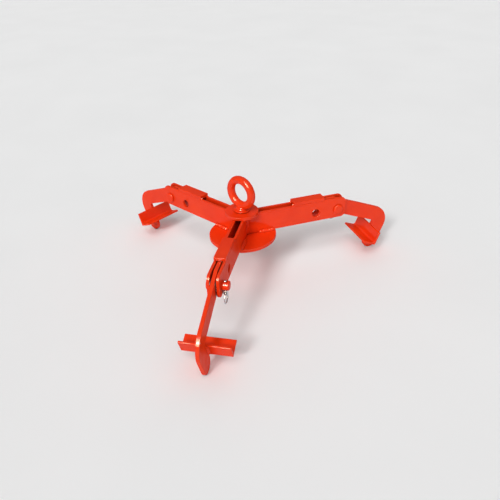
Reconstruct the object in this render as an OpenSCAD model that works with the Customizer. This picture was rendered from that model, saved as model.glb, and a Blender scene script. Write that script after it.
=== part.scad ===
// Overhead drum lifter. Three radial arms of paired plates stand out from a round hub.
// Each arm carries a pinned hook leg whose angle iron grips under the load's rim.
// Millimetres, +Z up, with the origin at the centre of the lifting eye.

/* [Hub] */
// Diameter of the disc under the arms
bottom_disc_d = 154; // [120:1:180]
// Thickness of the disc under the arms
bottom_disc_t = 8; // [5:0.5:14]
// Diameter of the disc on top of the arms
top_disc_d = 75; // [60:1:100]
// Thickness of the disc on top of the arms
top_disc_t = 8; // [5:0.5:14]

/* [Lifting eye] */
// Inside diameter of the eye
eye_hole_d = 42; // [36:1:50]
// Thickness of the eye's round bar
eye_bar_d = 18; // [17:0.5:22]
// Diameter of the forged shoulder
shoulder_d = 38; // [32:1:48]
// Thickness of the shoulder's rim
shoulder_t = 4; // [2:0.5:6]
// Height of the eye bar's lowest centre point above the shoulder's underside
shoulder_h = 13; // [12:0.5:16]
// Diameter of the neck that runs up into the eye
neck_d = 26; // [22:0.5:30]
// Diameter of the threaded shank
shank_d = 19; // [14:0.5:20]
// Length of the shank that stands out below the nut
shank_tip = 6; // [2:0.5:15]
// Diameter of the washer under the nut
washer_d = 40; // [34:1:50]
// Thickness of the washer under the nut
washer_t = 3.5; // [2:0.5:6]
// Width of the nut across its flats
nut_flats = 29; // [26:0.5:36]
// Height of the nut
nut_h = 16; // [10:0.5:20]

/* [Arms] */
// Distance by which the plates' inner ends stop short of each other and of the shank
hub_gap = 0.8; // [0.5:0.1:3]
// Height of the side plates
plate_h = 50; // [46:1:60]
// Thickness of each side plate
plate_t = 6; // [4:0.5:10]
// Width of the slot between the side plates
slot_w = 13; // [11:0.5:20]
// Length of plate beyond the pivot hole
plate_end = 20; // [16:0.5:30]
// Radius of the plates' outer corners
plate_round = 12; // [4:0.5:18]
// Distance inward from the pivot to the stop cover's outer end
cover_gap = 36; // [34:0.5:37]
// Length of the stop cover
cover_l = 77; // [70:1:80]
// Thickness of the stop cover
cover_t = 8; // [4:0.5:12]

/* [Pivot] */
// Distance of the pivot hole from the hub's axis
pivot_r = 235; // [232:1:242]
// Height of the pin holes above the plates' lower edge
hole_rise = 21; // [18:0.5:24]
// Step inward from the pivot hole to the empty reach hole
hole_step = 57; // [48:1:70]
// Diameter of the pivot pin
pin_d = 19; // [14:0.5:21]
// Diameter of the pivot pin's head
pin_head_d = 25; // [23:0.5:30]
// Thickness of the pivot pin's head
pin_head_t = 5; // [3:0.5:8]
// Length of the pivot pin beyond the far plate
pin_end = 15; // [13:0.5:20]
// Chamfer on the edges of the pins and the nut
pin_chamfer = 1.5; // [0.5:0.1:2]
// Diameter of the spacer washers beside the hook leg
spacer_d = 34; // [28:0.5:36]

/* [Hook leg] */
// Thickness of the hook leg
leg_t = 8; // [5:0.5:9]
// Angle by which the hook leg slopes down at rest
leg_droop = 22; // [16:0.5:24]
// Height of the hook leg's bar
bar_h = 36; // [30:0.5:40]
// Distance of the bar's lower edge below the pivot
bar_below = 12; // [11.5:0.5:15]
// Length along the bar from the pivot to the inside of the limb
leg_reach = 118; // [95:1:140]
// Width of the limb that turns down
limb_w = 37; // [28:0.5:44]
// Radius of the outer corner between bar and limb
outer_round = 42; // [20:1:46]
// Radius of the inner corner between bar and limb
inner_round = 5; // [2:0.5:8]
// Length of the rounded tip below the angle iron
tip_drop = 28; // [18:0.5:40]
// Radius of the tail about the pivot
tail_reach = 51; // [48:0.5:54]
// Gap between the tail's end and the empty reach hole
tail_gap = 1; // [0.5:0.1:3]

/* [Rim angle] */
// Width of each leg of the angle iron
angle_w = 34; // [25:0.5:45]
// Thickness of the angle iron
angle_t = 5; // [3:0.5:7]
// Length of the angle iron
angle_l = 102; // [60:1:140]
// Gap between the bar's lower edge and the angle iron
angle_gap = 11.5; // [9:0.5:20]
// Radius in the root of the angle iron
angle_root = 5; // [2:0.5:8]
// Radius on the toes of the angle iron
angle_toe = 2.5; // [1:0.1:2.9]

/* [Detent pin and pull ring] */
// Diameter of the detent pin
detent_d = 6; // [4:0.5:7]
// Distance of the detent pin from the plate's face
detent_off = 6.5; // [6:0.5:8]
// Length of the detent pin above the pivot pin
detent_tip = 2; // [1:0.5:8]
// Diameter of the detent pin's head
detent_head_d = 10; // [9:0.5:11]
// Height of the detent pin's head
detent_head_h = 12; // [10:0.5:16]
// Outside diameter of the pull ring
ring_d = 28; // [26:0.5:36]
// Thickness of the pull ring's wire
ring_wire = 3; // [2:0.25:3.5]

/* [Fits] */
// Clearance all round a pin in its hole
pin_clear = 0.3; // [0.1:0.05:0.5]
// Gap between faces that slide past each other
run_clear = 0.3; // [0.2:0.05:0.5]
// Clearance all round the shank in the nut and discs
shank_clear = 0.2; // [0.05:0.05:0.5]

/* [Hidden] */
$fn = 64;
// Length by which a cutter runs past a face
cut_over = 1;
arm_names = ["a", "b", "c"];
arm_angles = [180, -60, 60];
// The pin of arm a goes in from the other side
pin_turns = [180, 0, 0];

// Heights, counted down from the eye
eye_r = (eye_hole_d + eye_bar_d) / 2;
top_disc_z = -eye_r - shoulder_h;
plate_top_z = top_disc_z - top_disc_t;
plate_z = plate_top_z - plate_h;
bottom_disc_z = plate_z - bottom_disc_t;
washer_z = bottom_disc_z - washer_t;
nut_z = washer_z - nut_h;
pivot_z = plate_z + hole_rise;

// Arm and pivot
arm_w = slot_w + 2 * plate_t;
pin_hole_d = pin_d + 2 * pin_clear;
shank_hole_d = shank_d + 2 * shank_clear;
spacer_t = (slot_w - leg_t) / 2 - run_clear;
plates_meet = arm_w / 2 / tan(180 / len(arm_names));
shank_meet = sqrt(max(0, pow(shank_hole_d / 2, 2) - pow(slot_w / 2, 2)));
arm_start = max(plates_meet, shank_meet) + hub_gap;

// Hook leg, counted from the pivot along the leg
bar_top = bar_h - bar_below;
limb_out = leg_reach + limb_w;
angle_corner = -bar_below - angle_gap - angle_w;
tip_centre = angle_corner - tip_drop + limb_w / 2;
stop_rise = plate_h - hole_rise - run_clear;
tail_end = hole_step - pin_hole_d / 2 - tail_gap;

// Detent pin and ring, counted from the pivot
detent_y = arm_w / 2 + detent_off;
detent_head_top = -pin_d / 2 - run_clear;
ring_hole_z = detent_head_top - detent_head_h / 2;
ring_r = (ring_d - ring_wire) / 2;
ring_sag = ring_r - sqrt(ring_r * ring_r - detent_head_d * detent_head_d / 4);
ring_hole_d = ring_wire + 2 * ring_sag + 2 * pin_clear;

paint = [0.93, 0.25, 0.14];
zinc = [0.78, 0.79, 0.80];

arm_parts = [
    "side_plate_left", "side_plate_right", "stop_cover", "spacer_washers",
    "pivot_pin", "detent_pin", "pull_ring", "hook_leg", "rim_angle"
];

// Local frame of an arm: X runs outward, Y across, Z up
module on_arm(i) {
    rotate([0, 0, arm_angles[i]]) children();
}

module at_pivot(i) {
    on_arm(i) translate([pivot_r, 0, pivot_z]) children();
}

module at_pin(i) {
    at_pivot(i) rotate([0, 0, pin_turns[i]]) children();
}

// Plate of the given thickness, from an outline in the arm's own plane
module upright_plate(thickness) {
    rotate([90, 0, 0]) linear_extrude(thickness, center = true) children();
}

// Bar turned from a profile, with its axis along Y
module along_y() {
    rotate([-90, 0, 0]) children();
}

// Turned rod between two heights, chamfered at its upper end
module rod(r, low, high, chamfer) {
    rotate_extrude() polygon([[0, low], [r, low], [r, high - chamfer], [r - chamfer, high], [0, high]]);
}

// Turned head between two heights, chamfered at its lower end
module head(r, low, high, chamfer) {
    rotate_extrude() polygon([[0, low], [r - chamfer, low], [r, low + chamfer], [r, high], [0, high]]);
}

// Round disc with a hole for the eye bolt's shank
module hub_disc(d, thickness, low) {
    translate([0, 0, low]) difference() {
        cylinder(d = d, h = thickness);
        translate([0, 0, -cut_over]) cylinder(d = shank_hole_d, h = thickness + 2 * cut_over);
    }
}

module bottom_disc() {
    color(paint) hub_disc(bottom_disc_d, bottom_disc_t, bottom_disc_z);
}

module top_disc() {
    color(paint) hub_disc(top_disc_d, top_disc_t, top_disc_z - top_disc_t);
}

module eye_washer() {
    color(zinc) hub_disc(washer_d, washer_t, washer_z);
}

// Forged eye on a shoulder that flares out from its neck
module eye_bolt() {
    flare = (shoulder_d - neck_d) / 2;
    color(paint) union() {
        rotate([90, 0, 0]) rotate_extrude() translate([eye_r, 0]) circle(d = eye_bar_d);
        translate([0, 0, top_disc_z]) rotate_extrude() difference() {
            square([shoulder_d / 2, shoulder_t + flare]);
            translate([shoulder_d / 2, shoulder_t + flare]) circle(r = flare);
        }
        mirror([0, 0, 1]) rod(shank_d / 2, -top_disc_z, shank_tip - nut_z, pin_chamfer);
    }
}

module eye_nut() {
    corner_r = nut_flats / 2 / cos(30);
    color(zinc) difference() {
        intersection() {
            translate([0, 0, nut_z]) cylinder(r = corner_r, h = nut_h, $fn = 6);
            head(corner_r, nut_z, washer_z, pin_chamfer);
        }
        translate([0, 0, nut_z - cut_over]) cylinder(d = shank_hole_d, h = nut_h + 2 * cut_over);
    }
}

// Side plate with rounded outer corners, the pivot hole and the empty reach hole
module plate_outline() {
    far = pivot_r + plate_end;
    difference() {
        union() {
            translate([arm_start, 0]) square([far - plate_round - arm_start, plate_h]);
            translate([arm_start, plate_round]) square([far - arm_start, plate_h - 2 * plate_round]);
            for (y = [plate_round, plate_h - plate_round]) {
                translate([far - plate_round, y]) circle(r = plate_round);
            }
        }
        for (x = [pivot_r, pivot_r - hole_step]) {
            translate([x, hole_rise]) circle(d = pin_hole_d);
        }
    }
}

module side_plate(i, side) {
    color(paint) on_arm(i) translate([0, side * (slot_w + plate_t) / 2, plate_z])
        upright_plate(plate_t) plate_outline();
}

// Flat across both plates, and the stop that the hook leg's tail bears up against
module stop_cover(i) {
    color(paint) on_arm(i) translate([pivot_r - cover_gap - cover_l, -arm_w / 2, plate_top_z])
        cube([cover_l, arm_w, cover_t]);
}

// Two washers that fill the slot on either side of the hook leg
module spacer_washers(i) {
    color(zinc) at_pivot(i) for (side = [-1, 1]) {
        translate([0, side * (slot_w - spacer_t) / 2, 0]) upright_plate(spacer_t) difference() {
            circle(d = spacer_d);
            circle(d = pin_hole_d);
        }
    }
}

// Headed pin, cross-drilled near its free end
module pivot_pin(i) {
    head_seat = -arm_w / 2 - run_clear;
    color(paint) at_pin(i) difference() {
        along_y() {
            head(pin_head_d / 2, head_seat - pin_head_t, head_seat, pin_chamfer);
            rod(pin_d / 2, head_seat, arm_w / 2 + pin_end, pin_chamfer);
        }
        translate([0, detent_y, -pin_d]) cylinder(d = detent_d + 2 * pin_clear, h = 2 * pin_d);
    }
}

// Quick-release pin that drops out downward, with a drilled head for its ring
module detent_pin(i) {
    color(zinc) at_pin(i) translate([0, detent_y, 0]) difference() {
        union() {
            rod(detent_d / 2, detent_head_top, pin_d / 2 + detent_tip, pin_chamfer);
            head(detent_head_d / 2, detent_head_top - detent_head_h, detent_head_top, pin_chamfer);
        }
        translate([-detent_head_d, 0, ring_hole_z]) rotate([0, 90, 0])
            cylinder(d = ring_hole_d, h = 2 * detent_head_d);
    }
}

module pull_ring(i) {
    color(zinc) at_pin(i) translate([0, detent_y, ring_hole_z - ring_r]) rotate([90, 0, 0])
        rotate_extrude() translate([ring_r, 0]) circle(d = ring_wire);
}

// Bar and limb as one block with a rounded outer corner and a round tip
module leg_block() {
    translate([0, tip_centre]) square([limb_out - outer_round, bar_top - tip_centre]);
    translate([0, tip_centre]) square([limb_out, bar_top - outer_round - tip_centre]);
    translate([limb_out - outer_round, bar_top - outer_round]) circle(r = outer_round);
    translate([limb_out - limb_w / 2, tip_centre]) circle(d = limb_w);
}

// Space inside the hook, below the bar
module leg_throat() {
    deep = bar_below - tip_centre + limb_w;
    near = leg_reach - inner_round;
    translate([-limb_out, -bar_below - deep]) square([limb_out + near, deep]);
    translate([-limb_out, -bar_below - deep]) square([limb_out + leg_reach, deep - inner_round]);
    translate([near, -bar_below - inner_round]) circle(r = inner_round);
}

// Tail behind the pivot, ending in an arc about it and cut upright to clear the reach hole
module leg_tail() {
    intersection() {
        circle(r = tail_reach);
        rotate(-leg_droop) translate([-2 * tail_reach, -bar_below]) square([2 * tail_reach, bar_h]);
        translate([-tail_end, -tail_reach]) square(2 * tail_reach);
    }
}

// Hook leg at rest: its tail is cut level, to bear flat on the cover's underside
module hook_leg(i) {
    color(paint) at_pivot(i) upright_plate(leg_t) difference() {
        union() {
            rotate(-leg_droop) difference() {
                leg_block();
                leg_throat();
            }
            leg_tail();
        }
        translate([-2 * tail_reach, stop_rise]) square([3 * tail_reach, bar_h]);
        circle(d = pin_hole_d);
    }
}

// Rolled angle iron: an upright leg against the limb and a shelf that goes under the rim
module angle_outline() {
    inner = leg_reach - angle_t;
    translate([inner, angle_corner]) square([angle_t, angle_w - angle_toe]);
    translate([inner + angle_toe, angle_corner]) square([angle_t - angle_toe, angle_w]);
    translate([inner + angle_toe, angle_corner + angle_w - angle_toe]) circle(r = angle_toe);
    translate([leg_reach - angle_w + angle_toe, angle_corner]) square([angle_w - angle_toe, angle_t]);
    translate([leg_reach - angle_w, angle_corner]) square([angle_w, angle_t - angle_toe]);
    translate([leg_reach - angle_w + angle_toe, angle_corner + angle_t - angle_toe]) circle(r = angle_toe);
    translate([inner - angle_root, angle_corner + angle_t]) difference() {
        square(angle_root);
        translate([0, angle_root]) circle(r = angle_root);
    }
}

module rim_angle(i) {
    color(paint) at_pivot(i) upright_plate(angle_l) rotate(-leg_droop) angle_outline();
}

bottom_disc();
top_disc();
eye_bolt();
eye_washer();
eye_nut();
for (i = [0 : 2]) {
    side_plate(i, 1);
    side_plate(i, -1);
    stop_cover(i);
    spacer_washers(i);
    pivot_pin(i);
    detent_pin(i);
    pull_ring(i);
    hook_leg(i);
    rim_angle(i);
}
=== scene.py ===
# %% [markdown]
# # An overhead drum lifter
# The lifter hangs from a forged eye. Three arms of paired plates stand out from its hub, and each
# arm carries a pinned hook leg with an angle iron that grips under the load's rim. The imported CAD
# model is the fixed frame here: it gives every piece's place and size, and says which body moves it.
# This lesson makes each piece again with the eased edges, welds and finishes of the real one.

# %% Load the frame
import math

import bmesh
import bpy
from mathutils import Matrix, Vector


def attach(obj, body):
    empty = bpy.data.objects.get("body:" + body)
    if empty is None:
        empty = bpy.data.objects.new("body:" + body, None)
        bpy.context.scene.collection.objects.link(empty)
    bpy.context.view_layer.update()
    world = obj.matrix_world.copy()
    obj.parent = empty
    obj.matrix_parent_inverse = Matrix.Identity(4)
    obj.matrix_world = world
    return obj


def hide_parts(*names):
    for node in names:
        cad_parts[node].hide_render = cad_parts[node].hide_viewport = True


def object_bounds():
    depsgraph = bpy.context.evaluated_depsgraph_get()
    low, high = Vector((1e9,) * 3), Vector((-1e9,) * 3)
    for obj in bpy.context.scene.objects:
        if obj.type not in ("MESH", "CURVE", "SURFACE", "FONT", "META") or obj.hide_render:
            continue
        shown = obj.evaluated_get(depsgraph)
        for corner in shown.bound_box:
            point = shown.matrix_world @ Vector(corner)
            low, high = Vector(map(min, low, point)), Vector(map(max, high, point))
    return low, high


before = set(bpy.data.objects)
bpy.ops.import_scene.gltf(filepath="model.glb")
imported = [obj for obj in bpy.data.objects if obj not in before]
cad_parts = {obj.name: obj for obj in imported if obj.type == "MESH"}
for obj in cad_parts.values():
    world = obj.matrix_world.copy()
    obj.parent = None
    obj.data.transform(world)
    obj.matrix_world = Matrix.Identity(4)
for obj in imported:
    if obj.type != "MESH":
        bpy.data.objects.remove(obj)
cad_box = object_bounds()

MM = 0.001
scene = bpy.context.scene

# %% [markdown]
# ## Camera
# A camera can be placed by eye, or worked out. This one was worked out by fitting a pinhole camera to
# the round and straight edges in the photograph, which gives a place, a bearing, a height, a slight
# roll and a focal length in pixels. Setting the three axes of its matrix keeps the roll exact, which
# a Track To constraint would lose.

# %% Camera
PHOTO_SIDE = 500
FOCAL_PIXELS = 513.57
SENSOR_W = 36
BEARING = math.radians(42.82)
HEIGHT = math.radians(32.43)
ROLL = math.radians(-1.95)
CAMERA_PLACE = Vector((0.7077, -0.7410, 0.5005))


def outward(bearing, height):
    """The direction from the hub to a place at a bearing and a height, in radians."""
    level = math.cos(height)
    return Vector((level * math.sin(bearing), -level * math.cos(bearing), math.sin(height)))


back = outward(BEARING, HEIGHT)
level_right = Vector((math.cos(BEARING), math.sin(BEARING), 0))
level_up = back.cross(level_right)
right = math.cos(ROLL) * level_right + math.sin(ROLL) * level_up
up = math.cos(ROLL) * level_up - math.sin(ROLL) * level_right

camera_data = bpy.data.cameras.new("camera")
camera_data.sensor_width = SENSOR_W
camera_data.lens = SENSOR_W * FOCAL_PIXELS / PHOTO_SIDE
camera = bpy.data.objects.new("camera", camera_data)
camera.matrix_world = Matrix.Translation(CAMERA_PLACE) @ Matrix((right, up, back)).transposed().to_4x4()
scene.collection.objects.link(camera)
scene.camera = camera
print(f"camera: {camera_data.lens:.2f} mm lens")

# %% [markdown]
# ## Helpers for finishes
# A finish is a tree of shader nodes. Every finish here needs the same few branches: a noise, a value
# or a colour that follows it, and fine relief. They could be wired by hand in the node editor. As
# functions they are written once. Object coordinates are in metres, so a noise scale of 100 gives
# features of about 10 mm. A noise seldom leaves its middle range, so only that range is spread out.

# %% Helpers for finishes
NOISE_LOW, NOISE_HIGH = 0.3, 0.7


def new_finish(name):
    """A new node material, with its tree and its Principled shader."""
    material = bpy.data.materials.new(name)
    material.use_nodes = True
    return material, material.node_tree, material.node_tree.nodes["Principled BSDF"]


def noise(tree, scale, detail):
    """A noise texture in the piece's own coordinates, in features per metre."""
    place = tree.nodes.new("ShaderNodeTexCoord")
    texture = tree.nodes.new("ShaderNodeTexNoise")
    texture.inputs["Scale"].default_value = scale
    texture.inputs["Detail"].default_value = detail
    tree.links.new(place.outputs["Object"], texture.inputs["Vector"])
    return texture.outputs["Fac"]


def between(tree, value, low, high, start=NOISE_LOW, end=NOISE_HIGH):
    """Spreads a value that runs from start to end over low to high."""
    spread = tree.nodes.new("ShaderNodeMapRange")
    spread.inputs["From Min"].default_value = start
    spread.inputs["From Max"].default_value = end
    spread.inputs["To Min"].default_value = low
    spread.inputs["To Max"].default_value = high
    tree.links.new(value, spread.inputs["Value"])
    return spread.outputs["Result"]


def two_tone(tree, value, dark, light):
    """A colour that drifts between two tones."""
    ramp = tree.nodes.new("ShaderNodeValToRGB")
    ramp.color_ramp.elements[0].position = NOISE_LOW
    ramp.color_ramp.elements[1].position = NOISE_HIGH
    ramp.color_ramp.elements[0].color = (*dark, 1)
    ramp.color_ramp.elements[1].color = (*light, 1)
    tree.links.new(value, ramp.inputs["Fac"])
    return ramp.outputs["Color"]


def bumps(tree, value, depth, below=None):
    """Turns a noise into relief of that depth in metres, on top of other relief."""
    relief = tree.nodes.new("ShaderNodeBump")
    relief.inputs["Distance"].default_value = depth
    tree.links.new(value, relief.inputs["Height"])
    if below:
        tree.links.new(below, relief.inputs["Normal"])
    return relief.outputs["Normal"]


print("helpers for finishes: noise, between, two_tone and bumps")

# %% [markdown]
# ## Orange enamel
# The steel is sprayed with one coat of semi-gloss orange-red enamel. A single colour would look like
# plastic, so three things vary, each at its own scale: the colour drifts a little over a hand's
# width, the sheen over a finger's width, and the surface has shallow waves and the fine pebbling,
# called orange peel, that a spray gun leaves.
# Shade is painted into slots and tight corners: there the base colour is darkened towards a deep
# red. Such places could be picked face by face. An Ambient Occlusion node finds them all, because it
# measures how open the surface is within a short reach.
# The shine could come from the shader's own specular. A thin coat over a nearly matt base gives
# crisper highlights and leaves the colour deep, and a dense coat of little weight doesn't turn pale
# on faces that are seen at a grazing angle.

# %% Orange enamel
DEEP_ORANGE, BRIGHT_ORANGE = (0.82, 0.034, 0.003), (0.90, 0.046, 0.004)
# The tone of the painted shade in slots and corners, and how the occlusion spreads it.
PAINTED_SHADE_TONE = (0.24, 0.009, 0.001)
SHADE_REACH = 0.02
SHADE_FULL_BELOW, SHADE_NONE_ABOVE = 0.1, 0.6
SHADE_SAMPLES = 6


def painted_corner_shade(tree, paint):
    """The paint with painted shade: darkened in slots and corners."""
    openness = tree.nodes.new("ShaderNodeAmbientOcclusion")
    openness.samples = SHADE_SAMPLES
    openness.inputs["Distance"].default_value = SHADE_REACH
    mix = tree.nodes.new("ShaderNodeMixRGB")
    mix.inputs["Color1"].default_value = (*PAINTED_SHADE_TONE, 1)
    unshaded = between(tree, openness.outputs["AO"], 0, 1, start=SHADE_FULL_BELOW, end=SHADE_NONE_ABOVE)
    tree.links.new(unshaded, mix.inputs["Fac"])
    tree.links.new(paint, mix.inputs["Color2"])
    return mix.outputs["Color"]


orange_enamel, tree, shader = new_finish("orange_enamel")
paint = two_tone(tree, noise(tree, scale=14, detail=3), DEEP_ORANGE, BRIGHT_ORANGE)
sheen = between(tree, noise(tree, scale=60, detail=4), low=0.40, high=0.55)
waves = bumps(tree, noise(tree, scale=110, detail=2), depth=0.00003)
orange_peel = bumps(tree, noise(tree, scale=700, detail=2), depth=0.000012, below=waves)
# The base colour carries painted shade in slots and corners.
tree.links.new(painted_corner_shade(tree, paint), shader.inputs["Base Color"])
tree.links.new(sheen, shader.inputs["Roughness"])
tree.links.new(orange_peel, shader.inputs["Normal"])
tree.links.new(orange_peel, shader.inputs["Coat Normal"])
shader.inputs["Specular IOR Level"].default_value = 0.03
shader.inputs["Coat Weight"].default_value = 0.13
shader.inputs["Coat Roughness"].default_value = 0.11
shader.inputs["Coat IOR"].default_value = 2.5
print("orange_enamel: drifting colour and sheen, dull corners and orange peel")

# %% [markdown]
# ## Bright zinc
# The small hardware isn't painted. It is zinc plated: a bright grey metal, a little cloudy where the
# plating is passivated, with fine scuffs from handling. A plain metal shader would look like a mirror,
# so tone, gloss and relief come from textures. Metallic is 1 all over, so it is set on the shader's
# own socket.

# %% Bright zinc
DARK_ZINC, LIGHT_ZINC = (0.50, 0.52, 0.55), (0.68, 0.69, 0.71)

bright_zinc, tree, shader = new_finish("bright_zinc")
clouds = two_tone(tree, noise(tree, scale=160, detail=3), DARK_ZINC, LIGHT_ZINC)
gloss = between(tree, noise(tree, scale=420, detail=4), low=0.16, high=0.30)
scuffs = bumps(tree, noise(tree, scale=1500, detail=3), depth=0.00003)
tree.links.new(clouds, shader.inputs["Base Color"])
tree.links.new(gloss, shader.inputs["Roughness"])
tree.links.new(scuffs, shader.inputs["Normal"])
shader.inputs["Metallic"].default_value = 1
print("bright_zinc: cloudy plating with scuffs")

# %% [markdown]
# ## Outlines with eased corners
# Most pieces are flat bar, cut to an outline. A cutter never leaves a perfect corner, so an outline
# is given as corner points, each with a radius, and a helper swaps each corner for an arc. Bezier
# handles could draw the same arcs, but a list of corners is easier to read and to measure.

# %% Outline helpers
ARC_LEAST, ARC_DENSITY = 3, 4
ROUND_STEPS = 72


def eased(corners):
    """Points round an outline whose corners (x, y, radius), in millimetres, are swapped for arcs."""
    points = []
    for i, (x, y, radius) in enumerate(corners):
        here = Vector((x, y))
        to_last = (Vector(corners[i - 1][:2]) - here).normalized()
        to_next = (Vector(corners[(i + 1) % len(corners)][:2]) - here).normalized()
        half = to_last.angle(to_next) / 2
        centre = here + (to_last + to_next).normalized() * radius / math.sin(half)
        first = here + to_last * radius / math.tan(half) - centre
        last = here + to_next * radius / math.tan(half) - centre
        turn = math.atan2(first.cross(last), first.dot(last))
        steps = max(ARC_LEAST, round(abs(turn) * math.sqrt(radius) * ARC_DENSITY))
        for k in range(steps + 1):
            points.append(centre + Matrix.Rotation(turn * k / steps, 2) @ first)
    return [p * MM for p in points]


def circle(radius, x=0, y=0, steps=ROUND_STEPS):
    """Points round a circle, in millimetres."""
    turns = [2 * math.pi * k / steps for k in range(steps)]
    return [Vector((x + radius * math.cos(t), y + radius * math.sin(t))) * MM for t in turns]


print(f"outlines: an eased square has {len(eased([(0, 0, 2), (9, 0, 2), (9, 9, 2), (0, 9, 2)]))} points")

# %% [markdown]
# ## Pieces that ride on bodies
# On the real lifter each piece is a thing of its own, so each is an object of its own here, with a
# finish and a body that carries it. It hides the CAD nodes that it stands in for. Smooth shading alone
# would make flat faces look puffed up, so a Weighted Normal modifier keeps them flat.

# %% Pieces


def add_piece(name, mesh, material, body, slot, *nodes):
    """Makes a piece of a mesh, gives it its finish, and lets it ride on a body in place of CAD nodes."""
    piece = bpy.data.objects.new(name, mesh)
    scene.collection.objects.link(piece)
    mesh.materials.clear()
    mesh.materials.append(material)
    mesh.shade_smooth()
    piece.modifiers.new("even_normals", "WEIGHTED_NORMAL").keep_sharp = True
    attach(piece, body)
    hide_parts(*nodes)
    return piece


def painted(name, mesh, body, *nodes):
    """A piece in orange enamel."""
    return add_piece(name, mesh, orange_enamel, body, "orange_paint", *nodes)


def plated(name, mesh, body, *nodes):
    """A piece in bright zinc."""
    return add_piece(name, mesh, bright_zinc, body, "zinc_plate", *nodes)


print("pieces: painted or plated")

# %% [markdown]
# ## From outline to plate
# A plate could be a mesh that is filled, extruded and bevelled. A 2D curve does all three at once:
# its loops are the outline and the holes, Extrude is the thickness, and Bevel Depth rounds every edge,
# the holes' edges too. The offset draws the outline in by the bevel, so the plate keeps its true size.
# The curve then becomes a mesh. Points that all but coincide would leave slivers in the fill, so they
# are dropped first.

# %% Plates
NEAR = 0.05
SAME_POINT = 1e-6
EDGE_STEPS = 2


def cleaned(mesh):
    """Joins points that coincide and turns every face outward."""
    work = bmesh.new()
    work.from_mesh(mesh)
    bmesh.ops.remove_doubles(work, verts=work.verts, dist=SAME_POINT)
    bmesh.ops.dissolve_degenerate(work, edges=work.edges, dist=SAME_POINT)
    bmesh.ops.recalc_face_normals(work, faces=work.faces)
    work.to_mesh(mesh)
    work.free()
    return mesh


def shape_of(made):
    """The final mesh of an object with its modifiers. The object itself is then deleted."""
    scene.collection.objects.link(made)
    mesh = bpy.data.meshes.new_from_object(made.evaluated_get(bpy.context.evaluated_depsgraph_get()))
    bpy.data.objects.remove(made)
    return mesh


def cut_plate(name, loops, thickness, edge, where):
    """A plate centred on its outline's plane, with rounded edges, sizes in millimetres."""
    drawing = bpy.data.curves.new(name, "CURVE")
    drawing.dimensions = "2D"
    drawing.fill_mode = "BOTH"
    drawing.extrude = (thickness / 2 - edge) * MM
    drawing.bevel_depth = edge * MM
    drawing.bevel_resolution = EDGE_STEPS
    drawing.offset = -edge * MM
    for loop in loops:
        apart = [place for i, place in enumerate(loop) if (place - loop[i - 1]).length > NEAR * MM]
        spline = drawing.splines.new("POLY")
        spline.points.add(len(apart) - 1)
        for point, place in zip(spline.points, apart):
            point.co = (place.x, place.y, 0, 1)
        spline.use_cyclic_u = True
    mesh = cleaned(shape_of(bpy.data.objects.new(name, drawing)))
    mesh.transform(where)
    return mesh


print("cut_plate: outline, thickness and edge radius make a plate")

# %% [markdown]
# ## Arms
# Each arm is two upright plates with a slot between them. The far corners are rounded, and each plate
# has two pin holes: the pivot hole, and an empty one further in for a shorter reach. Booleans could
# cut the holes, but as loops of the outline they get eased edges too. The outline is drawn lying
# down, then stood up by a quarter turn about X, moved sideways, and turned to its arm.

# %% Arms
ARM_TURNS = {"a": 180, "b": -60, "c": 60}
EDGE = 0.8
CORNER = 1.3
PLATE_T, SLOT_W, PLATE_H = 6, 13, 50
PLATE_LOW = -101
ARM_END, ARM_END_ROUND = 255, 12
PIVOT_R, PIVOT_Z, HOLE_STEP = 235, -80, 57
PIN_HOLE_R = 9.8
HUB_GAP = 0.8

ARM_W = SLOT_W + 2 * PLATE_T
PLATE_TOP = PLATE_LOW + PLATE_H
PLATES_MEET = ARM_W / 2 / math.tan(math.pi / len(ARM_TURNS))
ARM_START = PLATES_MEET + HUB_GAP
SIDES = (("left", 1), ("right", -1))

upright = Matrix.Rotation(math.pi / 2, 4, "X")
arms = {k: Matrix.Rotation(math.radians(turn), 4, "Z") for k, turn in ARM_TURNS.items()}


def shift(x, y, z):
    """A move in millimetres."""
    return Matrix.Translation(Vector((x, y, z)) * MM)


plate_loops = [
    eased([(ARM_START, PLATE_LOW, CORNER), (ARM_END, PLATE_LOW, ARM_END_ROUND),
           (ARM_END, PLATE_TOP, ARM_END_ROUND), (ARM_START, PLATE_TOP, CORNER)]),
    circle(PIN_HOLE_R, PIVOT_R, PIVOT_Z),
    circle(PIN_HOLE_R, PIVOT_R - HOLE_STEP, PIVOT_Z),
]
for k, arm in arms.items():
    for side, sign in SIDES:
        node = f"side_plate_{side}_{k}"
        place = arm @ shift(0, sign * (SLOT_W + PLATE_T) / 2, 0) @ upright
        painted(f"arm_{node}", cut_plate(node, plate_loops, PLATE_T, EDGE, place), "frame", node)
print(f"arms: {len(arms) * len(SIDES)} plates, {ARM_END - ARM_START:.0f} mm long")

# %% [markdown]
# ## Stop covers and hub discs
# A flat bar is welded across each arm. It ties the plates together, and the hook leg's tail bears up
# against it. The hub's two discs hold the arms from above and below. Cubes and cylinders with a Bevel
# modifier would do for them, but as cut plates they get the same edges as the arms. They lie flat, so
# they need no quarter turn.

# %% Stop covers and hub discs
COVER_FROM, COVER_TO, COVER_T = 122, 199, 8
BOTTOM_DISC_R, TOP_DISC_R, DISC_T = 77, 37.5, 8
DISC_STEPS = 144
SHANK_HOLE_R = 9.7

cover_loop = eased([(COVER_FROM, -ARM_W / 2, CORNER), (COVER_TO, -ARM_W / 2, CORNER),
                    (COVER_TO, ARM_W / 2, CORNER), (COVER_FROM, ARM_W / 2, CORNER)])
for k, arm in arms.items():
    node = f"stop_cover_{k}"
    place = arm @ shift(0, 0, PLATE_TOP + COVER_T / 2)
    painted(f"arm_{node}", cut_plate(node, [cover_loop], COVER_T, EDGE, place), "frame", node)

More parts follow.
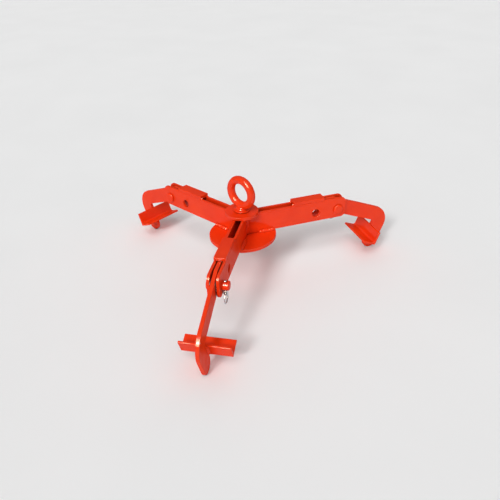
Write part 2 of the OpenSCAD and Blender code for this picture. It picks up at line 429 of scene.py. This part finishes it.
discs = (("bottom_disc", BOTTOM_DISC_R, PLATE_LOW - DISC_T), ("top_disc", TOP_DISC_R, PLATE_TOP))
for node, radius, low in discs:
    loops = [circle(radius, steps=DISC_STEPS), circle(SHANK_HOLE_R)]
    place = shift(0, 0, low + DISC_T / 2)
    painted(f"hub_{node}", cut_plate(node, loops, DISC_T, EDGE, place), "frame", node)
print(f"stop covers: {len(arms)}, hub discs: {len(discs)}")

# %% [markdown]
# ## Hook legs
# The hook leg is the clever piece. Behind the pivot its tail is cut level, so that it meets the stop
# cover flat. In front, the bar slopes down to a limb with a big outer radius, a small inner one and
# a round tip. The whole leg could be drawn straight and then turned, but its tail is level at rest.
# So the corners of bar and limb are given along the sloping leg, and a helper turns only those.

# %% Hook legs
DROOP = math.radians(22)
LEG_T = 8
BAR_TOP, BAR_LOW = 24, -12
LIMB_IN, LIMB_OUT = 118, 154.97
LIMB_ROUND, THROAT_ROUND = 42, 5
TIP_LOW = -85.49
STOP_RISE = 28.7
TAIL_REACH, TAIL_END = 51, 46.2


def sloped(along, across, radius):
    """A corner given along and across the sloping leg, from its pivot."""
    x = along * math.cos(DROOP) + across * math.sin(DROOP)
    return (x, across * math.cos(DROOP) - along * math.sin(DROOP), radius)


tip_r = (LIMB_OUT - LIMB_IN) / 2
tail_foot = (BAR_LOW * math.sin(DROOP) + TAIL_END) / -math.cos(DROOP)
bar_meets_stop = (BAR_TOP * math.cos(DROOP) - STOP_RISE) / math.sin(DROOP)
leg_loops = [
    eased([
        sloped(tail_foot, BAR_LOW, CORNER),
        sloped(LIMB_IN, BAR_LOW, THROAT_ROUND),
        sloped(LIMB_IN, TIP_LOW, tip_r),
        sloped(LIMB_OUT, TIP_LOW, tip_r),
        sloped(LIMB_OUT, BAR_TOP, LIMB_ROUND),
        sloped(bar_meets_stop, BAR_TOP, CORNER),
        (-math.sqrt(TAIL_REACH**2 - STOP_RISE**2), STOP_RISE, CORNER),
        (-TAIL_END, math.sqrt(TAIL_REACH**2 - TAIL_END**2), CORNER),
    ]),
    circle(PIN_HOLE_R),
]
pivots = {k: arm @ shift(PIVOT_R, 0, PIVOT_Z) for k, arm in arms.items()}
for k, pivot in pivots.items():
    node = f"hook_leg_{k}"
    made = cut_plate(node, leg_loops, LEG_T, EDGE, pivot @ upright)
    painted(f"swing_{node}", made, f"hook_{k}", node)
print(f"hook legs: {len(pivots)}, tail foot at {tail_foot:.1f} mm")

# %% [markdown]
# ## Rim angles
# The shelf that goes under the rim is rolled angle iron, so its profile has a round root and rounded
# toes but a fairly sharp heel. A profile could be swept along a path. For a straight length the same
# cut_plate does it: here the outline is the profile, and the thickness is the iron's length.

# %% Rim angles
ANGLE_W, ANGLE_T, ANGLE_L = 34, 5, 102
ANGLE_LOW = -57.5
ROOT_ROUND, TOE_ROUND = 5, 2.5

angle_loop = eased([
    sloped(LIMB_IN, ANGLE_LOW, CORNER),
    sloped(LIMB_IN, ANGLE_LOW + ANGLE_W, CORNER),
    sloped(LIMB_IN - ANGLE_T, ANGLE_LOW + ANGLE_W, TOE_ROUND),
    sloped(LIMB_IN - ANGLE_T, ANGLE_LOW + ANGLE_T, ROOT_ROUND),
    sloped(LIMB_IN - ANGLE_W, ANGLE_LOW + ANGLE_T, TOE_ROUND),
    sloped(LIMB_IN - ANGLE_W, ANGLE_LOW, CORNER),
])
for k, pivot in pivots.items():
    node = f"rim_angle_{k}"
    made = cut_plate(node, [angle_loop], ANGLE_L, EDGE, pivot @ upright)
    painted(f"swing_{node}", made, f"hook_{k}", node)
print(f"rim angles: {len(pivots)}, {ANGLE_L} mm long")

# %% [markdown]
# ## Turned pieces
# Pins are turned on a lathe. In Blender that is a profile spun round an axis: bmesh has a spin tool,
# which does what the Screw modifier does but leaves a plain mesh. Corners of the profile are eased in
# the same way as an outline's. A cross hole is then drilled with a Boolean, as it is on the real pin.

# %% Turning and drilling
ON_AXIS = 0.01
SHARP = 0.001
SMALL_STEPS = 48


def turned(name, corners, where, steps=ROUND_STEPS):
    """Spins an eased profile of corners (radius, height, easing) round Z, in millimetres."""
    work = bmesh.new()
    line = [work.verts.new((max(0, p.x), 0, p.y)) for p in eased(corners)]
    edges = [work.edges.new(pair) for pair in zip(line, line[1:])]
    bmesh.ops.spin(work, geom=line + edges, axis=(0, 0, 1), angle=2 * math.pi, steps=steps)
    mesh = bpy.data.meshes.new(name)
    work.to_mesh(mesh)
    work.free()
    cleaned(mesh)
    mesh.transform(where)
    return mesh


def drilled(mesh, radius, length, where):
    """The mesh with a round hole along the Z axis of where."""
    end = length / 2
    rod = [(0, -end, SHARP), (radius, -end, SHARP), (radius, end, SHARP), (0, end, SHARP)]
    drill = bpy.data.objects.new("drill", turned("drill", rod, where, SMALL_STEPS))
    scene.collection.objects.link(drill)
    blank = bpy.data.objects.new("blank", mesh)
    hole = blank.modifiers.new("hole", "BOOLEAN")
    hole.operation = "DIFFERENCE"
    hole.object = drill
    made = cleaned(shape_of(blank))
    bpy.data.objects.remove(drill)
    return made


print("turned and drilled: ready")

# %% [markdown]
# ## Pivot pins
# A headed pin goes through both plates and the leg. Its head is on one side of the arm, and its free
# end, cross-drilled for the detent pin, stands out on the other. It was painted with the rest, and is
# free to turn in its holes. Two cylinders would look too sharp, so it is turned from a profile. The
# axis of a turned piece is Z, and a quarter turn lays it along Y.

# %% Pivot pins
PIN_TURNS = {"a": 180, "b": 0, "c": 0}
PIN_R, PIN_HEAD_R, PIN_HEAD_T, PIN_END = 9.5, 12.5, 5, 15
PIN_HEAD_EASE, PIN_SEAT_EASE, PIN_TIP_EASE = 4.2, 0.6, 2.0
ROOT_EASE = 0.3
RUN_CLEAR = 0.3
DETENT_OFF = 6.5
CROSS_HOLE_R = 3.3

head_seat = -ARM_W / 2 - RUN_CLEAR
pin_tip = ARM_W / 2 + PIN_END
detent_y = ARM_W / 2 + DETENT_OFF
pin_corners = [
    (0, head_seat - PIN_HEAD_T, ON_AXIS), (PIN_HEAD_R, head_seat - PIN_HEAD_T, PIN_HEAD_EASE),
    (PIN_HEAD_R, head_seat, PIN_SEAT_EASE), (PIN_R, head_seat, ROOT_EASE),
    (PIN_R, pin_tip, PIN_TIP_EASE), (0, pin_tip, ON_AXIS),
]
lying = Matrix.Rotation(-math.pi / 2, 4, "X")
pins = {k: pivot @ Matrix.Rotation(math.radians(PIN_TURNS[k]), 4, "Z") for k, pivot in pivots.items()}
for k, pin in pins.items():
    node = f"pivot_pin_{k}"
    blank = turned(node, pin_corners, pin @ lying)
    made = drilled(blank, CROSS_HOLE_R, 3 * PIN_R, pin @ shift(0, detent_y, 0))
    painted(f"turn_{node}", made, f"pin_{k}", node)
print(f"pivot pins: {len(pins)}, {pin_tip - head_seat:.1f} mm under the head")

# %% [markdown]
# ## Skins over rings
# A bent wire could be a curve with a bevel, and a thread could come from a Screw modifier, but neither
# gives domed ends or a thread that runs out. What they, a nut and a weld share is that a row of rings
# describes them. So one helper lays a skin over rings of points. A ring shrunk to a point closes an
# end.

# %% Skins over rings


def skin_over(name, rings):
    """A skin over rings of points, in millimetres, given in order and all of one count."""
    work = bmesh.new()
    rows = [[work.verts.new(Vector(p) * MM) for p in ring] for ring in rings]
    for one, two in zip(rows, rows[1:]):
        for j in range(len(one)):
            work.faces.new((one[j - 1], one[j], two[j], two[j - 1]))
    mesh = bpy.data.meshes.new(name)
    work.to_mesh(mesh)
    work.free()
    return cleaned(mesh)


print("skin_over: rings of points make a mesh")

# %% [markdown]
# ## Detent pins and pull rings
# The detent pin crosses the pivot pin's free end and keeps it in. Its head is drilled for a pull ring.
# The ring is bent from round wire with its ends butted, so it isn't a closed torus: the wire is swept
# round almost a full turn, and each end is closed with a small dome.

# %% Detent pins and pull rings
DETENT_R, DETENT_TIP = 3, 2
DETENT_HEAD_R, DETENT_HEAD_H = 5, 12
DETENT_HEAD_EASE, DETENT_SEAT_EASE, DETENT_TIP_EASE = 1.5, 0.8, 1.4
RING_R, RING_WIRE_R = 12.5, 1.5
RING_BUTT = math.radians(2)
DOME, DOME_SHARES = 0.4, (0, 0.6, 0.9)

detent_head_top = -PIN_R - RUN_CLEAR
detent_head_low = detent_head_top - DETENT_HEAD_H
detent_top = PIN_R + DETENT_TIP
ring_hole_z = (detent_head_top + detent_head_low) / 2
ring_sag = RING_R - math.sqrt(RING_R**2 - DETENT_HEAD_R**2)
ring_hole_r = RING_WIRE_R + ring_sag + RUN_CLEAR
detent_corners = [
    (0, detent_head_low, ON_AXIS), (DETENT_HEAD_R, detent_head_low, DETENT_HEAD_EASE),
    (DETENT_HEAD_R, detent_head_top, DETENT_SEAT_EASE), (DETENT_R, detent_head_top, ROOT_EASE),
    (DETENT_R, detent_top, DETENT_TIP_EASE), (0, detent_top, ON_AXIS),
]


def bent_wire(name, ring_r, wire_r, butt, where, steps=96, sides=16):
    """A ring of round wire in the XZ plane, with domed ends that butt at its foot, or joined at 0."""
    dome = DOME * wire_r / ring_r if butt else 0
    caps = [(dome * (1 - math.sqrt(1 - share**2)), share) for share in DOME_SHARES] if butt else []
    span = 2 * math.pi - butt
    stations = caps + [(dome + (span - 2 * dome) * i / steps, 1) for i in range(steps + 1)]
    stations += [(span - turn, share) for turn, share in reversed(caps)]
    rings = []
    for turn, share in stations:
        out = Vector((math.sin(butt / 2 + turn), 0, -math.cos(butt / 2 + turn)))
        ring = []
        for j in range(sides):
            t = 2 * math.pi * j / sides
            sideways = Vector((0, wire_r * share * math.sin(t), 0))
            ring.append(out * (ring_r + wire_r * share * math.cos(t)) + sideways)
        rings.append(ring)
    mesh = skin_over(name, rings)
    mesh.transform(where)
    return mesh


for k, pin in pins.items():
    detent = pin @ shift(0, detent_y, 0)
    node = f"detent_pin_{k}"
    blank = turned(node, detent_corners, detent, SMALL_STEPS)
    drill_line = detent @ shift(0, 0, ring_hole_z) @ Matrix.Rotation(math.pi / 2, 4, "Y")
    made = drilled(blank, ring_hole_r, 4 * DETENT_HEAD_R, drill_line)
    plated(f"pull_{node}", made, f"detent_{k}", node)
    node = f"pull_ring_{k}"
    place = detent @ shift(0, 0, ring_hole_z - RING_R)
    plated(f"swing_{node}", bent_wire(node, RING_R, RING_WIRE_R, RING_BUTT, place), f"ring_{k}", node)
print(f"detent pins and pull rings: {len(pins)} of each")

# %% [markdown]
# ## Spacer washers
# Two washers fill the slot beside each leg, so that it can't rattle sideways. A punched washer is
# rounded on one side only. As cut plates both sides are eased a little, which hardly shows in the slot.

# %% Spacer washers
SPACER_R, SPACER_EDGE = 17, 0.3
SPACER_T = (SLOT_W - LEG_T) / 2 - RUN_CLEAR

spacer_loops = [circle(SPACER_R), circle(PIN_HOLE_R)]
for k, pivot in pivots.items():
    for side, sign in SIDES:
        node = f"spacer_washers_{k}"
        place = pivot @ shift(0, sign * (SLOT_W - SPACER_T) / 2, 0) @ upright
        washer = cut_plate(node, spacer_loops, SPACER_T, SPACER_EDGE, place)
        plated(f"spacer_{side}_{k}", washer, "frame", node)
print(f"spacer washers: {len(pivots) * len(SIDES)}, {SPACER_T:.1f} mm thick")

# %% [markdown]
# ## Forged eye
# The lifting eye is drop forged: a round bar bent to a ring, growing out of a flared shoulder with no
# crease between them. Joining two meshes would leave a hard line. So a ring and a turned shoulder are
# put in one mesh, and a Remesh modifier in voxel mode skins over both. A Smooth modifier then
# runs the inner corners together, as hot steel does in a die.

# %% Forged eye
EYE_R, EYE_BAR_R = 30, 9
EYE_STEPS, EYE_SIDES = 120, 40
SHOULDER_R, SHOULDER_T, NECK_R = 19, 4, 13
SHOULDER_EASE, ARC_GAP = 1.2, 0.1
VOXEL = 0.8

top_disc_top = PLATE_TOP + DISC_T
rim_top = top_disc_top + SHOULDER_T
flare = SHOULDER_R - NECK_R
flare_top = rim_top + flare
shoulder_corners = [
    (0, top_disc_top, ON_AXIS), (SHOULDER_R, top_disc_top, ROOT_EASE),
    (SHOULDER_R, rim_top, SHOULDER_EASE), (NECK_R, rim_top, flare / 2),
    (NECK_R, flare_top, flare / 2 - ARC_GAP), (0, flare_top, ON_AXIS),
]


def one_mesh(name, meshes):
    """Several meshes as one."""
    work = bmesh.new()
    for mesh in meshes:
        work.from_mesh(mesh)
    joined = bpy.data.meshes.new(name)
    work.to_mesh(joined)
    work.free()
    return joined


shoulder = turned("shoulder", shoulder_corners, Matrix())
eye = bent_wire("eye", EYE_R, EYE_BAR_R, butt=0, where=Matrix(), steps=EYE_STEPS, sides=EYE_SIDES)
blank = bpy.data.objects.new("forging", one_mesh("forging", [shoulder, eye]))
skin = blank.modifiers.new("skin", "REMESH")
skin.mode = "VOXEL"
skin.voxel_size = VOXEL * MM
flow = blank.modifiers.new("flow", "SMOOTH")
flow.factor = 0.5
flow.iterations = 20
forging = shape_of(blank)
painted("forged_eye", forging, "frame", "eye_bolt")
print(f"forged eye: {len(forging.polygons)} faces")

# %% [markdown]
# ## Thread
# The eye bolt's thread shows below its nut. A bump map would leave the outline smooth, so the thread is
# real relief: a skin over many rings whose radius rises and falls with height and turn, so that the
# crest climbs one pitch for each turn.

# %% Thread
SHANK_R, PITCH, THREAD_DEPTH, TIP_CHAMFER = 9.5, 2.54, 1.3, 1.8
FLANK, CREST = 2.4, 0.5
PITCH_STEPS, TURN_STEPS = 10, 60
WASHER_T, NUT_H, SHANK_TIP = 3.5, 16, 6
WASHER_LOW = PLATE_LOW - DISC_T - WASHER_T
NUT_LOW = WASHER_LOW - NUT_H
SHANK_LOW = NUT_LOW - SHANK_TIP


def turn_ring(place_at, steps):
    """A ring about Z, with the radius and the height that place_at gives for each turn."""
    turns = [2 * math.pi * j / steps for j in range(steps)]
    places = [place_at(t) for t in turns]
    return [(r * math.cos(t), r * math.sin(t), height) for t, (r, height) in zip(turns, places)]


def level_ring(radius, height, steps):
    """A round, level ring."""
    return turn_ring(lambda t: (radius, height), steps)


def thread_r(turn, height):
    """The thread's radius: a crest and a root in each pitch, run out at the tip's chamfer."""
    climb = (height / PITCH - turn / (2 * math.pi)) % 1
    groove = THREAD_DEPTH * min(1, max(0, FLANK * (1 - abs(2 * climb - 1)) - CREST))
    return min(SHANK_R - groove, SHANK_R - TIP_CHAMFER + (height - SHANK_LOW))


level_count = int((WASHER_LOW - SHANK_LOW) / PITCH * PITCH_STEPS)
levels = [SHANK_LOW + PITCH * n / PITCH_STEPS for n in range(level_count)]
thread = [turn_ring(lambda t, z=z: (thread_r(t, z), z), TURN_STEPS) for z in levels]
ends = [level_ring(0, z, TURN_STEPS) for z in (levels[0], levels[-1])]
shank = skin_over("shank_thread", [ends[0], *thread, ends[1]])
plated("shank_thread", shank, "frame", "eye_bolt")
print(f"thread: {level_count} rings")

# %% [markdown]
# ## Nut and washer
# Under the hub a nut pulls the eye bolt down on a washer. A six-sided cylinder would have sharp
# corners all the way up. A real nut's are taken off by a cone, so the nut is a skin over rings too:
# its radius follows the six flats, and its corners end where the cone meets them.

# %% Nut and washer
WASHER_R, WASHER_EDGE = 20, 0.5
NUT_FLAT_R, NUT_CHAMFER, LEAD_IN = 14.5, 0.4, 1
NUT_STEPS = 120
HALF_FLAT = math.pi / 6
CONE_SLOPE = math.tan(math.radians(30))


def flats_r(turn):
    """The radius to the nut's flats."""
    return NUT_FLAT_R / math.cos((turn + HALF_FLAT) % (2 * HALF_FLAT) - HALF_FLAT)


def corner_cut(turn):
    """How far the cone that takes off the corners comes down them."""
    return NUT_CHAMFER / 2 + (flats_r(turn) - NUT_FLAT_R) * CONE_SLOPE


nut = [
    level_ring(SHANK_HOLE_R, NUT_LOW + LEAD_IN, NUT_STEPS),
    level_ring(SHANK_HOLE_R + LEAD_IN, NUT_LOW, NUT_STEPS),
    level_ring(NUT_FLAT_R - NUT_CHAMFER, NUT_LOW, NUT_STEPS),
    turn_ring(lambda t: (flats_r(t), NUT_LOW + corner_cut(t)), NUT_STEPS),
    turn_ring(lambda t: (flats_r(t), WASHER_LOW - corner_cut(t)), NUT_STEPS),
    level_ring(NUT_FLAT_R - NUT_CHAMFER, WASHER_LOW, NUT_STEPS),
    level_ring(SHANK_HOLE_R, WASHER_LOW, NUT_STEPS),
    level_ring(SHANK_HOLE_R, NUT_LOW + LEAD_IN, NUT_STEPS),
]
plated("hub_nut", skin_over("hub_nut", nut), "frame", "eye_nut")

washer_loops = [circle(WASHER_R), circle(SHANK_HOLE_R)]
place = shift(0, 0, WASHER_LOW + WASHER_T / 2)
washer = cut_plate("hub_washer", washer_loops, WASHER_T, WASHER_EDGE, place)
plated("hub_washer", washer, "frame", "eye_washer")
print(f"nut: {len(nut)} rings, and its washer")

# %% [markdown]
# ## A weld bead
# A weld bead fills an inside corner with a row of overlapping ripples. A bump map would vanish in
# profile, so each bead is a skin over rings: its section bulges a little between the two walls, its
# size rises and falls with each ripple and wanders a little, as a hand does, and its ends die away.
# The root is sunk a little, so that no gap shows.

# %% A weld bead
RIPPLE, RIPPLE_DEPTH, RIPPLE_BOW, RIPPLE_STEPS = 2.6, 0.05, 0.45, 6
SLOW_WANDER, SLOW_RATE = 0.05, 0.9
QUICK_WANDER, QUICK_RATE = 0.03, 2.3
BULGE, BULGE_STEPS = 0.16, 8
SINK = 0.3
LIFT = 1.2 * SINK


def shrunk(ring):
    """A ring with all its points at its middle."""
    return [sum(ring, Vector()) / len(ring)] * len(ring)


def weld_bead(start, end, wall_a, wall_b, leg, where):
    """A fillet weld along a straight inside corner. The walls are the directions away from it."""
    start, end, wall_a, wall_b = (Vector(v) for v in (start, end, wall_a, wall_b))
    length = (end - start).length
    count = round(length / RIPPLE * RIPPLE_STEPS)
    root = -SINK * (wall_a + wall_b)
    rings = []
    for i in range(count + 1):
        run = length * i / count
        near_end = min(run, length - run, leg) / leg
        fade = math.sqrt(max(0, near_end * (2 - near_end)))
        wander = 1 + SLOW_WANDER * math.sin(run * SLOW_RATE + start.x)
        wander += QUICK_WANDER * math.sin(run * QUICK_RATE + start.y)
        middle = start.lerp(end, i / count) + root
        ring = [middle]
        for j in range(BULGE_STEPS + 1):
            t = math.pi / 2 * j / BULGE_STEPS
            swell = 1 / (math.cos(t) + math.sin(t)) + BULGE * math.sin(2 * t)
            phase = run / RIPPLE + RIPPLE_BOW * math.sin(2 * t)
            ripple = RIPPLE_DEPTH * abs(math.sin(math.pi * phase)) * math.sin(2 * t)
            size = leg * fade * (swell * wander + ripple)
            ring.append(middle + (wall_a * math.cos(t) + wall_b * math.sin(t)) * (size + LIFT))
        rings.append(ring)
    mesh = skin_over("bead", [shrunk(rings[0]), *rings, shrunk(rings[-1])])
    mesh.transform(where)
    return mesh


print(f"weld_bead: a ripple every {RIPPLE} mm")

# %% [markdown]
# ## Where the welds go
# The arms are welded to the discs and to each other at the hub, the covers to the arms' plates, and
# the angles to the legs. Each bead could be a piece of its own. The beads of one arm, or of one leg,
# never move apart, so they are joined in one mesh. Welds have no CAD node of their own: they ride
# beside the pieces that they join.

# %% Where the welds go
DISC_WELD, TOP_WELD, COVER_WELD, ANGLE_WELD, HUB_WELD = 6, 4, 6, 4.5, 5
DISC_WELD_FROM, DISC_WELD_TO = 34, 75
TOP_WELD_FROM, TOP_WELD_TO = 17, 36
ANGLE_WELD_LOW, ANGLE_WELD_HIGH = ANGLE_LOW + 2, ANGLE_LOW + ANGLE_W - 1
STEP_IN = 0.4


def along_arm(a, b, y, z, to_side, to_z, leg, where):
    """A bead along an arm from a to b, in the corner at y and z."""
    return weld_bead((a, y, z), (b, y, z), (0, to_side, 0), (0, 0, to_z), leg, where)


next_arm = Matrix.Rotation(2 * math.pi / len(arms), 3, "Z") @ Vector((1, 0, 0))
limb_face = (math.cos(DROOP), 0, -math.sin(DROOP))
low_x, low_z, _ = sloped(LIMB_IN, ANGLE_WELD_LOW, 0)
high_x, high_z, _ = sloped(LIMB_IN, ANGLE_WELD_HIGH, 0)
for k, arm in arms.items():
    beads = []
    for sign in (1, -1):
        y = sign * ARM_W / 2
        beads.append(along_arm(DISC_WELD_FROM, DISC_WELD_TO, y, PLATE_LOW, sign, 1, DISC_WELD, arm))
        beads.append(along_arm(TOP_WELD_FROM, TOP_WELD_TO, y, PLATE_TOP, sign, -1, TOP_WELD, arm))
        inner, outer = sorted((sign * SLOT_W / 2, sign * ARM_W / 2))
        for x, out in ((COVER_FROM, -1), (COVER_TO, 1)):
            beads.append(weld_bead((x, inner + STEP_IN, PLATE_TOP), (x, outer - STEP_IN, PLATE_TOP),
                                   (out, 0, 0), (0, 0, 1), COVER_WELD, arm))
    beads.append(weld_bead((PLATES_MEET, ARM_W / 2, PLATE_LOW), (PLATES_MEET, ARM_W / 2, PLATE_TOP),
                           (1, 0, 0), next_arm, HUB_WELD, arm))
    name = f"arm_welds_{k}"
    painted(name, one_mesh(name, beads), "frame")

    leg_beads = []
    for sign in (1, -1):
        y = sign * LEG_T / 2
        leg_beads.append(weld_bead((low_x, y, low_z), (high_x, y, high_z),
                                   (0, sign, 0), limb_face, ANGLE_WELD, pivots[k]))
    name = f"leg_welds_{k}"
    painted(name, one_mesh(name, leg_beads), f"hook_{k}")
print(f"weld beads: {len(beads)} on each arm, {len(leg_beads)} on each leg")

# %% [markdown]
# ## Floor
# A wide pale floor keeps the eye on the orange. A Plane would do, but a disc has no corners that show
# at the horizon. It is matt, so that no lamp glares in it, and its underside lets light through, so
# that the lifter can be looked at from below.

# %% Floor
FLOOR_R, FLOOR_STEPS, FLOOR_GAP = 14000, 96, 0.5
DARK_FLOOR, LIGHT_FLOOR = (0.91, 0.91, 0.91), (0.93, 0.93, 0.93)

floor_z = cad_box[0].z - FLOOR_GAP * MM
floor_mesh = bpy.data.meshes.new("floor")
work = bmesh.new()
rim = circle(FLOOR_R, steps=FLOOR_STEPS)
work.faces.new([work.verts.new((place.x, place.y, floor_z)) for place in rim])
work.to_mesh(floor_mesh)
work.free()
floor = bpy.data.objects.new("floor", floor_mesh)
scene.collection.objects.link(floor)

pale_floor, tree, shader = new_finish("pale_floor")
shade = two_tone(tree, noise(tree, scale=3, detail=3), DARK_FLOOR, LIGHT_FLOOR)
tree.links.new(shade, shader.inputs["Base Color"])
shader.inputs["Roughness"].default_value = 0.7
shader.inputs["Specular IOR Level"].default_value = 0
clear = tree.nodes.new("ShaderNodeBsdfTransparent")
facing = tree.nodes.new("ShaderNodeNewGeometry")
choose = tree.nodes.new("ShaderNodeMixShader")
tree.links.new(facing.outputs["Backfacing"], choose.inputs["Fac"])
tree.links.new(shader.outputs["BSDF"], choose.inputs[1])
tree.links.new(clear.outputs["BSDF"], choose.inputs[2])
tree.links.new(choose.outputs["Shader"], tree.nodes["Material Output"].inputs["Surface"])
floor_mesh.materials.append(pale_floor)
print(f"floor: {2 * FLOOR_R * MM:.0f} m across")

# %% [markdown]
# ## Light
# Area lamps could light the lifter, but they would fade over a wide floor. Suns light it evenly, and
# each is spread over some degrees, so that it is as soft as a studio box. The main light and a crisper
# one beside it stand a little to the left of the camera, because in the photograph the faces that look
# that way are brightest. The crisp one draws the glints on pins, welds and rounded corners. A wide
# warm light around it shows only in shiny surfaces, where it draws the long golden highlights of the
# eye and the legs' bends. A weak light from the right and one from behind open the shade. They are
# hidden from shiny surfaces, so that they don't veil the colour.
# A dim white world lifts the rest. Seen directly it is as pale as the floor, so that low views have no
# dark horizon: a Light Path node tells sight from light.

# %% Light
SKY_LIGHT, SKY_SEEN = 0.27, 0.80
GOLDEN = (1.0, 0.80, 0.50)
LAMP_FAR = 3


def soft_light(name, bearing, height, spread, strength):
    """A far, wide light on the hub, at so many degrees to the right of the camera and up."""
    away = outward(BEARING + math.radians(bearing), math.radians(height))
    light = bpy.data.lights.new(name, "SUN")
    light.angle = math.radians(spread)
    light.energy = strength
    lamp = bpy.data.objects.new(name, light)
    lamp.location = away * LAMP_FAR
    lamp.rotation_euler = away.to_track_quat("Z", "Y").to_euler()
    scene.collection.objects.link(lamp)
    return lamp


soft_light("main_light", bearing=-15, height=55, spread=34, strength=1.0)
soft_light("spark_light", bearing=-29, height=34, spread=12, strength=1.25)
shine = soft_light("shine_light", bearing=-27, height=36, spread=36, strength=7.0)
shine.visible_diffuse = False
shine.data.color = GOLDEN
right_fill = soft_light("right_light", bearing=40, height=45, spread=40, strength=0.2)
right_fill.visible_glossy = False
far_fill = soft_light("far_light", bearing=170, height=45, spread=50, strength=0.3)
far_fill.visible_glossy = False

world = bpy.data.worlds.new("studio")
world.use_nodes = True
tree = world.node_tree
sky = tree.nodes["Background"]
sky.inputs["Color"].default_value = (1, 1, 1, 1)
rays = tree.nodes.new("ShaderNodeLightPath")
strength = between(tree, rays.outputs["Is Camera Ray"], SKY_LIGHT, SKY_SEEN, start=0, end=1)
tree.links.new(strength, sky.inputs["Strength"])
scene.world = world
scene.view_settings.view_transform = "Standard"
print(f"light: {len(bpy.data.lights)} soft lights and a dim world")

# %% [markdown]
# ## Measure
# The dressed model should stay inside the CAD model's box, so that box is printed.

# %% Measure
print("CAD box", [round(x, 4) for corner in cad_box for x in corner])
